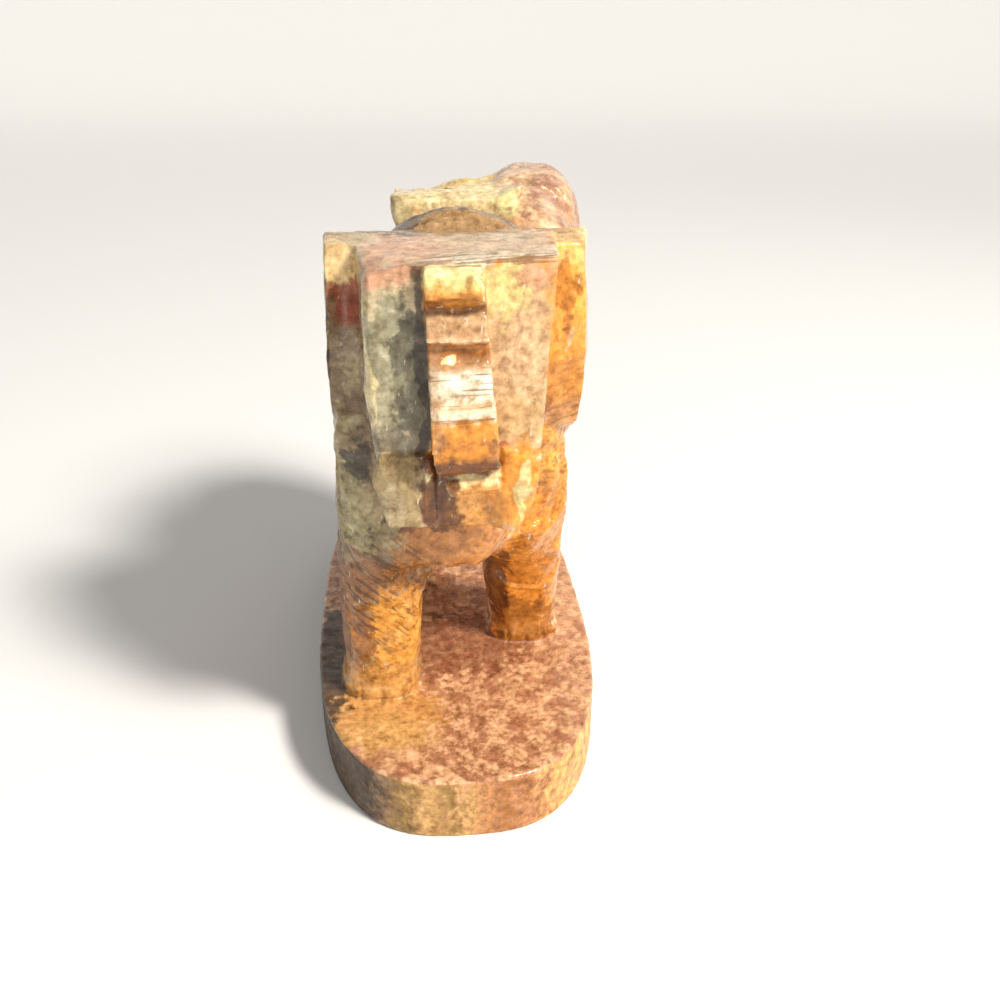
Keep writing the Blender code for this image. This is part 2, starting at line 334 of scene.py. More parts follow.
def wavySkin(coords, normals):
    # the slight unevenness that sanding leaves, and none on the underside
    amount = np.empty(len(coords))
    broad, fine = stone["skinWaves"]
    lumpStart = stone["lumpFront"] * mm
    for index, co in enumerate(coords):
        spot = Vector(co) / mm
        amount[index] = noise.noise(spot * broad) + 0.5 * noise.noise(spot * fine)
        back = co[1] - frontEnd
        if back > lumpStart and co[2] - lowest.z > stone["lumpLow"] * mm:
            coarse = noise.noise(spot * stone["lumpWaves"]) * stone["lumpNoise"] / stone["skinNoise"]
            amount[index] += coarse * min(1.0, (back - lumpStart) / (stone["lumpFade"] * mm))
    keep = np.clip((coords[:, 2] - lowest.z) / (stone["plainFoot"] * mm), 0.0, 1.0)
    coords += normals * (amount * keep * stone["skinNoise"] * mm)[:, None]


def standOutAttribute(piece):
    # how far each point stands out from its neighbours, kept for the materials
    mesh = piece.data
    coords = coordsOf(mesh)
    normals = normalsOf(mesh)
    pairs = np.empty(len(mesh.edges) * 2, dtype=np.int64)
    mesh.edges.foreach_get("vertices", pairs)
    pairs = pairs.reshape(-1, 2)
    total = np.zeros(len(coords))
    count = np.zeros(len(coords))
    for first, second in ((0, 1), (1, 0)):
        here, there = pairs[:, first], pairs[:, second]
        step = coords[there] - coords[here]
        length = np.linalg.norm(step, axis=1) + 1e-9
        bend = -np.einsum("ij,ij->i", step, normals[here]) / length
        np.add.at(total, here, bend)
        np.add.at(count, here, 1)
    value = total / np.maximum(count, 1)
    for _ in range(2):
        spread = np.zeros(len(coords))
        for first, second in ((0, 1), (1, 0)):
            np.add.at(spread, pairs[:, first], value[pairs[:, second]])
        value = 0.5 * value + 0.5 * spread / np.maximum(count, 1)
    layer = mesh.attributes.new("standOut", "FLOAT", "POINT")
    layer.data.foreach_set("value", value.astype(np.float32))


def carvedStone():
    piece = roughStone()
    mesh = piece.data
    coords = coordsOf(mesh)
    normals = normalsOf(mesh)
    scatterFacets(coords, normals)
    carveDetails(coords, normals)
    grooveEars(coords, normals)
    setCoords(mesh, coords)
    wavySkin(coords, normalsOf(mesh))
    setCoords(mesh, coords)
    normals = normalsOf(mesh)
    markFeet(coords, normals)
    cutStrokes(coords, normals)
    for axis in (0, 1, 2):
        coords[:, axis] = np.clip(coords[:, axis], cadBox[0][axis], cadBox[1][axis])
    setCoords(mesh, coords)
    print("surface carved:", len(mesh.vertices), "points")
    thin = piece.modifiers.new("thin", "DECIMATE")
    triangles = sum(len(face.vertices) - 2 for face in mesh.polygons)
    thin.ratio = min(1.0, stone["triangles"] / triangles)
    applyModifiers(piece)
    piece.data.shade_smooth()
    standOutAttribute(piece)
    print("carved stone:", len(piece.data.polygons), "faces")
    return piece


def newGroup(name, inputs, outputs):
    group = bpy.data.node_groups.new(name, "ShaderNodeTree")
    for label, kind, value in inputs:
        socket = group.interface.new_socket(label, in_out="INPUT", socket_type=kind)
        socket.default_value = value
    for label, kind in outputs:
        group.interface.new_socket(label, in_out="OUTPUT", socket_type=kind)
    start = group.nodes.new("NodeGroupInput")
    end = group.nodes.new("NodeGroupOutput")
    return group, start, end


def mathNode(tree, operation, first, second=None):
    node = tree.nodes.new("ShaderNodeMath")
    node.operation = operation
    for socket, value in zip(node.inputs, (first, second)):
        if value is None:
            continue
        if isinstance(value, (int, float)):
            socket.default_value = value
        else:
            tree.links.new(value, socket)
    return node.outputs[0]


def vectorNode(tree, operation, first, second=None):
    node = tree.nodes.new("ShaderNodeVectorMath")
    node.operation = operation
    for socket, value in zip(node.inputs, (first, second)):
        if value is None:
            continue
        if isinstance(value, tuple):
            socket.default_value = value
        else:
            tree.links.new(value, socket)
    return node.outputs["Value" if operation == "LENGTH" else "Vector"]


def noiseNode(tree, vector, scale, detail, rough):
    node = tree.nodes.new("ShaderNodeTexNoise")
    tree.links.new(vector, node.inputs["Vector"])
    node.inputs["Scale"].default_value = scale
    node.inputs["Detail"].default_value = detail
    node.inputs["Roughness"].default_value = rough
    return node


def rangeNode(tree, value, low, high, toLow=0.0, toHigh=1.0, smooth=True):
    node = tree.nodes.new("ShaderNodeMapRange")
    node.interpolation_type = "SMOOTHSTEP" if smooth else "LINEAR"
    for label, number in (("From Min", low), ("From Max", high), ("To Min", toLow), ("To Max", toHigh)):
        if isinstance(number, (int, float)):
            node.inputs[label].default_value = number
        else:
            tree.links.new(number, node.inputs[label])
    tree.links.new(value, node.inputs["Value"])
    return node.outputs["Result"]


def mixColour(tree, mask, under, over):
    node = tree.nodes.new("ShaderNodeMix")
    node.data_type = "RGBA"
    for label, value in (("Factor", mask), ("A", under), ("B", over)):
        socket = next(s for s in node.inputs if s.name == label and s.enabled)
        if isinstance(value, (int, float)):
            socket.default_value = value
        elif isinstance(value, tuple):
            socket.default_value = (*value, 1.0)
        else:
            tree.links.new(value, socket)
    return next(s for s in node.outputs if s.enabled)


def patchGroup():
    # a patch of colour in the stone: a ball round a place, its edge frayed by the stone's own cloud
    group, start, end = newGroup("stonePatch", [
        ("Point", "NodeSocketVector", (0, 0, 0)), ("Centre", "NodeSocketVector", (0, 0, 0)),
        ("Reach", "NodeSocketVector", (1, 1, 1)), ("Cloud", "NodeSocketFloat", 0.5),
        ("Fray", "NodeSocketFloat", 0.6), ("Edge", "NodeSocketFloat", 0.18),
        ("Strength", "NodeSocketFloat", 1.0)], [("Mask", "NodeSocketFloat")])
    offset = vectorNode(group, "SUBTRACT", start.outputs["Point"], start.outputs["Centre"])
    shape = vectorNode(group, "DIVIDE", offset, start.outputs["Reach"])
    distance = vectorNode(group, "LENGTH", shape)
    waver = mathNode(group, "MULTIPLY", mathNode(group, "SUBTRACT", start.outputs["Cloud"], 0.5),
                     start.outputs["Fray"])
    uneven = mathNode(group, "ADD", distance, mathNode(group, "MULTIPLY", waver, 4.0))
    inner = mathNode(group, "SUBTRACT", 1.0, start.outputs["Edge"])
    outer = mathNode(group, "ADD", 1.0, start.outputs["Edge"])
    mask = rangeNode(group, uneven, inner, outer, 1.0, 0.0)
    group.links.new(mathNode(group, "MULTIPLY", mask, start.outputs["Strength"]), end.inputs["Mask"])
    return group


def mottleGroup():
    # the cloudy spotting of soapstone, with finer flecks in it
    group, start, end = newGroup("stoneMottle", [
        ("Point", "NodeSocketVector", (0, 0, 0)), ("Size", "NodeSocketFloat", 0.35),
        ("Low", "NodeSocketFloat", 0.42), ("High", "NodeSocketFloat", 0.60)],
        [("Mask", "NodeSocketFloat"), ("Fleck", "NodeSocketFloat")])
    scaled = group.nodes.new("ShaderNodeVectorMath")
    scaled.operation = "SCALE"
    group.links.new(start.outputs["Point"], scaled.inputs[0])
    group.links.new(start.outputs["Size"], scaled.inputs["Scale"])
    cloud = noiseNode(group, scaled.outputs["Vector"], 1.0, 4.0, 0.62)
    fleck = noiseNode(group, scaled.outputs["Vector"], 4.5, 3.0, 0.65)
    mask = rangeNode(group, cloud.outputs["Fac"], start.outputs["Low"], start.outputs["High"])
    group.links.new(mask, end.inputs["Mask"])
    group.links.new(rangeNode(group, fleck.outputs["Fac"], 0.54, 0.66), end.inputs["Fleck"])
    return group


def strokeGroup():
    # rasp and file strokes: long thin noise laid along one direction
    group, start, end = newGroup("fileStrokes", [
        ("Point", "NodeSocketVector", (0, 0, 0)), ("Turn", "NodeSocketVector", (0, 0, 0)),
        ("Length", "NodeSocketFloat", 0.12), ("Width", "NodeSocketFloat", 1.4)],
        [("Stroke", "NodeSocketFloat")])
    turned = group.nodes.new("ShaderNodeVectorRotate")
    turned.rotation_type = "EULER_XYZ"
    group.links.new(start.outputs["Point"], turned.inputs["Vector"])
    group.links.new(start.outputs["Turn"], turned.inputs["Rotation"])
    stretch = group.nodes.new("ShaderNodeCombineXYZ")
    group.links.new(start.outputs["Length"], stretch.inputs["X"])
    group.links.new(start.outputs["Width"], stretch.inputs["Y"])
    group.links.new(start.outputs["Width"], stretch.inputs["Z"])
    laid = vectorNode(group, "MULTIPLY", turned.outputs["Vector"], stretch.outputs["Vector"])
    strokes = noiseNode(group, laid, 1.0, 2.0, 0.5)
    group.links.new(strokes.outputs["Fac"], end.inputs["Stroke"])
    return group


lampLift = 0.86      # shades are laid a little dark, because the lamps lift them


def stoneShade(code):
    # screen colour to light value
    channels = [int(code[start:start + 2], 16) / 255 for start in (0, 2, 4)]
    return tuple(lampLift * (value / 12.92 if value < 0.04045 else ((value + 0.055) / 1.055) ** 2.4)
                 for value in channels)


shades = {name: stoneShade(code) for name, code in {
    "pinkCream": "EFCFA5", "headTop": "DDBB93", "trunkTan": "C4976C", "rose": "E3A27E", "chalk": "F1E4C8",
    "cream": "F6E2A8", "lemon": "FBEFA4", "oliveTan": "C6B18A", "greyGreen": "A29C7C", "slate": "6F6853",
    "shadeAndStrokeDark": "3A3024", "lowOlive": "958A71", "cheekOlive": "A98F61", "wine": "6A3E20", "peach": "ECC091",
    "peachMid": "D6AC7C", "paleYellow": "F3D88C", "crack": "8A5A38", "tanLow": "CFA66D",
    "redSpot": "A8492F", "orange": "EA9A3C", "gold": "DE9638", "throat": "E8A14D", "earYellow": "E8C386",
    "maroon": "A9573E", "earOlive": "897154", "shoulderGreen": "AFA177", "shoulderBrown": "997752",
    "legBrown": "9B6230", "legGold": "F4A94C", "legRust": "A8692F", "footOchre": "DCA058",
    "chest": "C98545", "legAmber": "E6912F", "legUmber": "B06E28", "recess": "7C4717",
    "shoulderAmber": "F0A94A", "earGold": "EBBB6C", "earAmber": "EFA94F", "earDeep": "DC9440",
    "dome": "B18A5C", "domeDark": "5C4730", "padPale": "EDD7A2", "padTop": "F4DAA0", "slope": "EBCB86",
    "lumpPink": "EBBE94", "lumpDark": "A8745A", "hip": "EBC49E", "pink": "E8B283", "mauve": "B97F5A",
    "mauveDark": "94583C", "wallDark": "4C371E", "wallOlive": "A4803F", "wallYellow": "E1B06C",
    "wallPink": "D5955A", "wallGold": "F0B868",
}.items()}

# patches of the figure: centre and reach in the carver's measures, fray, shade, strength
figurePatches = [
    # head top
    ((-1.0, 17.0, 77.6), (17.0, 14.0, 3.4), 0.25, "headTop", 0.95),
    ((-8.0, 15.0, 77.6), (6.0, 9.0, 3.0), 0.8, "rose", 0.60),
    ((4.0, 21.0, 77.6), (7.0, 4.0, 3.0), 0.9, "oliveTan", 0.55),
    # painted highlight along the front edge of the brow
    ((3.5, 6.9, 77.2), (10.0, 2.6, 1.9), 0.35, "chalk", 0.75),
    # face, left of the trunk
    ((-8.6, 5.0, 64.0), (5.0, 4.6, 14.5), 0.25, "oliveTan", 0.95),
    ((-9.6, 5.0, 75.6), (4.6, 3.6, 2.6), 0.5, "rose", 0.75),
    ((-8.6, 5.0, 66.5), (3.0, 4.4, 6.5), 0.7, "greyGreen", 0.85),
    ((-6.7, 5.0, 64.0), (2.3, 4.4, 8.0), 0.6, "slate", 0.95),
    ((-9.2, 5.0, 58.0), (3.4, 4.4, 4.6), 0.6, "greyGreen", 0.80),
    ((-6.6, 5.0, 56.0), (1.9, 4.4, 5.0), 0.6, "slate", 0.80),
    ((-8.6, 5.0, 52.6), (4.0, 4.4, 2.4), 0.5, "lowOlive", 0.90),
    # painted shadow down the trunk's left side, painted glints along the face's lower edge, and a painted
    # highlight down its left edge
    ((-5.0, 5.6, 62.0), (0.9, 2.4, 14.0), 0.2, "shadeAndStrokeDark", 0.85),
    ((-8.6, 5.0, 51.3), (3.6, 2.4, 0.30), 0.10, "chalk", 0.80),
    ((-11.9, 6.2, 64.0), (0.6, 1.6, 11.0), 0.25, "cream", 0.60),
    # left cheek and the gap beside the trunk
    ((-8.4, 4.6, 45.8), (4.6, 6.0, 6.6), 0.30, "cheekOlive", 0.95),
    ((-9.8, 4.6, 44.0), (1.6, 4.0, 4.0), 0.70, "oliveTan", 0.60),
    # painted shade in the gap beside the trunk
    ((-3.6, 5.8, 46.0), (2.0, 4.4, 6.8), 0.30, "wine", 0.95),
    # face, right of the trunk
    ((7.4, 5.0, 64.0), (5.6, 4.4, 15.0), 0.20, "peachMid", 0.95),
    ((8.4, 5.0, 63.0), (2.4, 3.6, 9.0), 0.90, "peach", 0.70),
    ((5.6, 5.0, 73.2), (2.8, 3.6, 3.4), 0.70, "paleYellow", 0.80),
    ((9.6, 5.0, 74.4), (2.6, 3.0, 1.8), 0.60, "rose", 0.70),
    ((7.4, 5.0, 67.2), (0.40, 3.0, 5.2), 0.25, "crack", 0.30),
    ((5.8, 5.0, 62.0), (0.5, 3.0, 4.2), 0.40, "crack", 0.35),
    ((6.4, 5.0, 54.5), (3.8, 4.0, 5.0), 0.60, "tanLow", 0.80),
    ((5.9, 5.0, 52.2), (0.8, 2.4, 0.7), 0.20, "redSpot", 0.85),
    # right cheek and throat
    ((1.6, 7.0, 43.0), (4.0, 5.0, 4.6), 0.30, "throat", 0.90),
    ((7.8, 5.0, 45.6), (4.6, 6.0, 7.0), 0.30, "orange", 0.95),
    # painted highlights on the lobe's outer facet
    ((8.5, 4.0, 47.6), (0.8, 2.6, 3.0), 0.60, "cream", 0.70),
    ((7.6, 4.0, 44.0), (0.7, 2.6, 2.8), 0.60, "lemon", 0.65),
    ((10.6, 8.0, 46.0), (1.5, 5.0, 5.4), 0.40, "gold", 0.80),
    # left ear, the valley under it and the shoulder
    # painted light on the ear's up-facing top facet
    ((-16.6, 20.0, 73.6), (4.0, 9.0, 3.8), 0.45, "earYellow", 0.95),
    # painted shade in the hollow between ear and face
    ((-14.6, 18.4, 68.2), (3.0, 5.4, 4.2), 0.55, "maroon", 0.90),
    ((-16.0, 19.0, 59.4), (4.4, 9.0, 6.4), 0.50, "earOlive", 0.95),
    ((-15.0, 18.0, 61.0), (1.6, 6.0, 4.0), 0.90, "oliveTan", 0.60),
    # painted shade along the ear's outer rim, and in the valley under the ear
    ((-18.6, 19.0, 62.0), (1.0, 4.0, 14.0), 0.25, "shadeAndStrokeDark", 0.75),
    ((-14.6, 20.0, 46.0), (2.6, 5.6, 6.4), 0.40, "shadeAndStrokeDark", 0.85),
    ((-16.4, 20.0, 36.5), (4.6, 10.0, 6.6), 0.60, "shoulderGreen", 0.95),
    ((-17.4, 22.0, 27.5), (4.4, 10.0, 5.4), 0.50, "shoulderBrown", 0.95),
    # leading leg and chest
    ((-12.0, 24.0, 23.0), (8.0, 12.0, 9.0), 0.45, "legBrown", 0.85),
    ((-10.0, 22.0, 13.0), (5.4, 12.0, 12.0), 0.35, "legGold", 0.95),
    ((-17.6, 26.0, 13.0), (3.6, 14.0, 14.0), 0.50, "legRust", 0.90),
    ((-13.0, 24.0, 3.4), (8.4, 12.0, 4.0), 0.45, "footOchre", 0.90),
    ((-0.4, 15.0, 31.6), (10.0, 8.0, 5.2), 0.30, "chest", 0.95),
    # painted shade in the crevice under the chin
    ((-2.0, 15.0, 36.6), (8.0, 6.0, 1.6), 0.90, "wine", 0.60),
    # right shoulder and leg
    ((15.0, 30.0, 26.0), (8.4, 20.0, 29.0), 0.20, "legAmber", 0.95),
    ((15.8, 24.0, 46.0), (4.6, 10.0, 9.0), 0.60, "shoulderAmber", 0.85),
    ((12.0, 36.0, 4.6), (7.0, 10.0, 5.4), 0.60, "legUmber", 0.90),
    # painted shade on the inner side of the right leg, set back under the cheek
    ((7.0, 33.0, 16.0), (2.4, 11.0, 14.0), 0.35, "recess", 0.90),
    # right ear and the side of the head before it
    ((15.0, 19.0, 64.0), (5.4, 14.0, 15.0), 0.15, "earDeep", 0.95),
    ((16.4, 21.0, 68.0), (4.0, 8.0, 8.0), 0.80, "earAmber", 0.85),
    ((17.0, 22.0, 75.2), (5.4, 9.0, 2.8), 0.50, "earGold", 0.95),
    # painted highlight on the ear's outer rim, and painted glints on its side
    ((19.0, 26.0, 74.0), (1.3, 7.0, 5.0), 0.40, "lemon", 0.85),
    ((15.7, 19.0, 61.7), (0.9, 3.0, 3.0), 0.30, "chalk", 0.80),
    ((17.8, 24.0, 63.0), (0.9, 3.0, 3.4), 0.30, "lemon", 0.80),
    ((17.4, 20.0, 56.0), (1.6, 6.0, 5.0), 0.80, "gold", 0.70),
    # painted shade in the hollow between face and ear
    ((15.4, 18.0, 70.0), (1.4, 4.0, 5.0), 0.90, "legUmber", 0.60),
    ((13.0, 11.0, 62.0), (1.6, 6.0, 15.0), 0.50, "gold", 0.80),
    # crown behind the head
    ((0.9, 31.5, 76.6), (16.0, 9.5, 5.2), 0.20, "dome", 0.95),
    # painted shade along the crown's far rim, heavier on the left
    ((0.9, 38.0, 76.6), (19.0, 5.6, 7.0), 0.20, "domeDark", 0.95),
    ((-8.4, 31.0, 75.4), (4.0, 8.0, 2.6), 0.60, "domeDark", 0.80),
    # eyes: painted shade in the sockets, and a darker eye in the middle
    ((-13.2, 11.8, 64.0), (3.4, 2.9, 1.9), 0.10, "domeDark", 0.75),
    ((13.2, 11.8, 64.0), (3.4, 2.9, 1.9), 0.10, "domeDark", 0.75),
    ((-13.2, 11.8, 64.0), (3.4, 1.5, 1.0), 0.05, "wine", 0.90),
    ((13.2, 11.8, 64.0), (3.4, 1.5, 1.0), 0.05, "wine", 0.90),
    # flanks and hindquarters
    ((-16.0, 50.0, 44.0), (8.0, 14.0, 12.0), 0.8, "tanLow", 0.70),
    ((-12.0, 62.0, 66.0), (9.0, 16.0, 9.0), 0.8, "oliveTan", 0.80),
    ((-10.0, 80.0, 54.0), (9.0, 12.0, 14.0), 0.8, "slope", 0.60),
    ((-8.0, 88.0, 22.0), (9.0, 11.0, 16.0), 0.7, "legBrown", 0.70),
    ((-14.0, 38.0, 64.0), (8.0, 9.0, 8.0), 0.8, "peachMid", 0.70),
    ((-18.0, 28.0, 64.0), (3.0, 9.0, 9.0), 0.9, "cheekOlive", 0.80),
    ((18.0, 46.0, 44.0), (7.0, 12.0, 14.0), 0.8, "gold", 0.70),
    ((12.0, 94.0, 50.0), (12.0, 8.0, 18.0), 0.7, "legRust", 0.60),
    ((5.0, 96.0, 28.0), (4.0, 3.6, 14.0), 0.5, "domeDark", 0.60),
    # pad and rump
    ((6.0, 66.0, 78.0), (13.0, 11.0, 7.0), 0.35, "slope", 0.95),
    ((2.0, 56.0, 76.0), (13.0, 7.6, 5.6), 0.15, "padTop", 0.97),
    ((0.5, 50.2, 75.0), (10.0, 1.6, 3.0), 0.15, "padPale", 0.90),
    ((11.2, 51.0, 76.5), (3.2, 4.0, 4.2), 0.30, "lemon", 0.85),
    ((18.0, 64.0, 72.0), (9.4, 24.0, 17.0), 0.20, "lumpPink", 0.95),
    ((20.0, 58.0, 56.0), (8.0, 15.0, 11.0), 0.50, "hip", 0.90),
]

groundPatches = [
    ((-14.0, 17.5, 0.0), (11.0, 8.6, 6.0), 0.45, "footOchre", 0.85),
    ((-12.0, 12.0, 0.0), (8.0, 4.6, 6.0), 0.70, "wallYellow", 0.55),
    # painted shade on the base beside the leading leg
    ((-22.0, 34.0, 0.0), (4.6, 17.0, 6.0), 0.40, "shadeAndStrokeDark", 0.85),
    # painted shadow on the base under the belly
    ((0.0, 37.0, 0.0), (13.0, 10.0, 6.0), 0.50, "mauveDark", 0.70),
    ((18.0, 62.0, 0.0), (10.0, 24.0, 6.0), 0.60, "pink", 0.50),
]

# colours down the trunk, by height: the stone's tones, with painted highlights where steps face the light
# and painted shade in the hollows and undercuts
trunkBandsAndShading = [
    (38.0, "legRust"), (44.0, "throat"), (46.8, "throat"), (48.4, "cream"), (49.3, "recess"),
    (51.4, "recess"), (52.8, "legAmber"), (57.4, "orange"), (58.4, "chalk"), (59.6, "peach"),
    (60.4, "chalk"), (63.3, "chalk"), (64.0, "trunkTan"), (65.2, "legRust"), (66.8, "chest"),
    (67.4, "pinkCream"), (67.9, "trunkTan"), (70.0, "peachMid"), (70.8, "crack"),
    (72.0, "legUmber"), (73.2, "orange"), (74.6, "paleYellow"), (77.4, "cream"),
]

# patches laid over the trunk's bands: painted shade in the gap beside it and under the knob, a painted
# highlight on the knob's chipped corner, and spots
trunkPatches = [
    ((-3.0, 5.6, 45.0), (2.6, 5.0, 6.6), 0.45, "wine", 0.82),
    ((-2.2, 4.0, 64.4), (0.9, 2.0, 0.8), 0.20, "cream", 0.90),
    ((2.4, 3.0, 74.8), (0.9, 2.0, 2.2), 0.50, "cream", 0.85),
    ((-1.0, 2.0, 72.6), (2.6, 2.4, 1.0), 0.40, "legUmber", 0.50),
    ((-3.8, 2.0, 62.0), (0.8, 4.0, 9.0), 0.30, "trunkTan", 0.55),
    ((3.6, 2.0, 53.0), (1.2, 3.0, 3.4), 0.50, "crack", 0.55),
]

# colours along the base's wall, from left to right: the stone's beds, the dark left end partly painted
# shade
wallBedsAndShade = [
    (-26.0, "wallDark"), (-15.5, "wallDark"), (-12.5, "shoulderBrown"), (-10.0, "wallOlive"),
    (-6.0, "wallYellow"), (-3.0, "wallOlive"), (0.0, "wallYellow"), (2.5, "wallPink"), (7.0, "legRust"),
    (11.0, "wallPink"), (15.0, "wallGold"), (21.0, "wallGold"), (26.0, "wallPink"),
]


def plainPoint(tree):
    # the point being shaded, in the carver's measures
    coords = tree.nodes.new("ShaderNodeTexCoord")
    node = tree.nodes.new("ShaderNodeMapping")
    node.inputs["Location"].default_value = (0.0, -frontEnd / mm, -(lowest.z + baseThick) / mm)
    node.inputs["Scale"].default_value = (1 / mm,) * 3
    tree.links.new(coords.outputs["Object"], node.inputs["Vector"])
    return node.outputs["Vector"]


def placed(tree, group, **values):
    node = tree.nodes.new("ShaderNodeGroup")
    node.node_tree = group
    for label, value in values.items():
        socket = node.inputs[label]
        if isinstance(value, (int, float, tuple)):
            socket.default_value = value
        else:
            tree.links.new(value, socket)
    return node


def bedRamp(tree, beds, value):
    ramp = tree.nodes.new("ShaderNodeValToRGB")
    first, last = beds[0][0], beds[-1][0]
    for index, (spot, shade) in enumerate(beds):
        share = (spot - first) / (last - first)
        stops = ramp.color_ramp.elements
        stop = stops[index] if index < 2 else stops.new(share)
        stop.position = share
        stop.color = (*shades[shade], 1.0)
    tree.links.new(rangeNode(tree, value, first, last, smooth=False), ramp.inputs["Fac"])
    return ramp.outputs["Color"]


def centred(tree, value, span):
    # a noise value turned into a shift either way
    return mathNode(tree, "MULTIPLY", mathNode(tree, "SUBTRACT", value, 0.5), span)


finish = {
    "coat": 0.20, "wallCoat": 0.05, "coatRough": 0.10, "specular": 0.42,
    "rough": (0.14, 0.42), "raspRough": 0.20, "wallRough": 0.22,
    "bump": 0.50, "bumpDepth": 0.35,         # the second in mm
    "wander": 5.0,                           # mm the stone's beds stray by
    "wallEdge": (-0.65, -0.40),              # where the base's wall begins under its top face
}
grainTint = (0.90, 1.08, 1.35)               # dark grain is browner, pale grain whiter


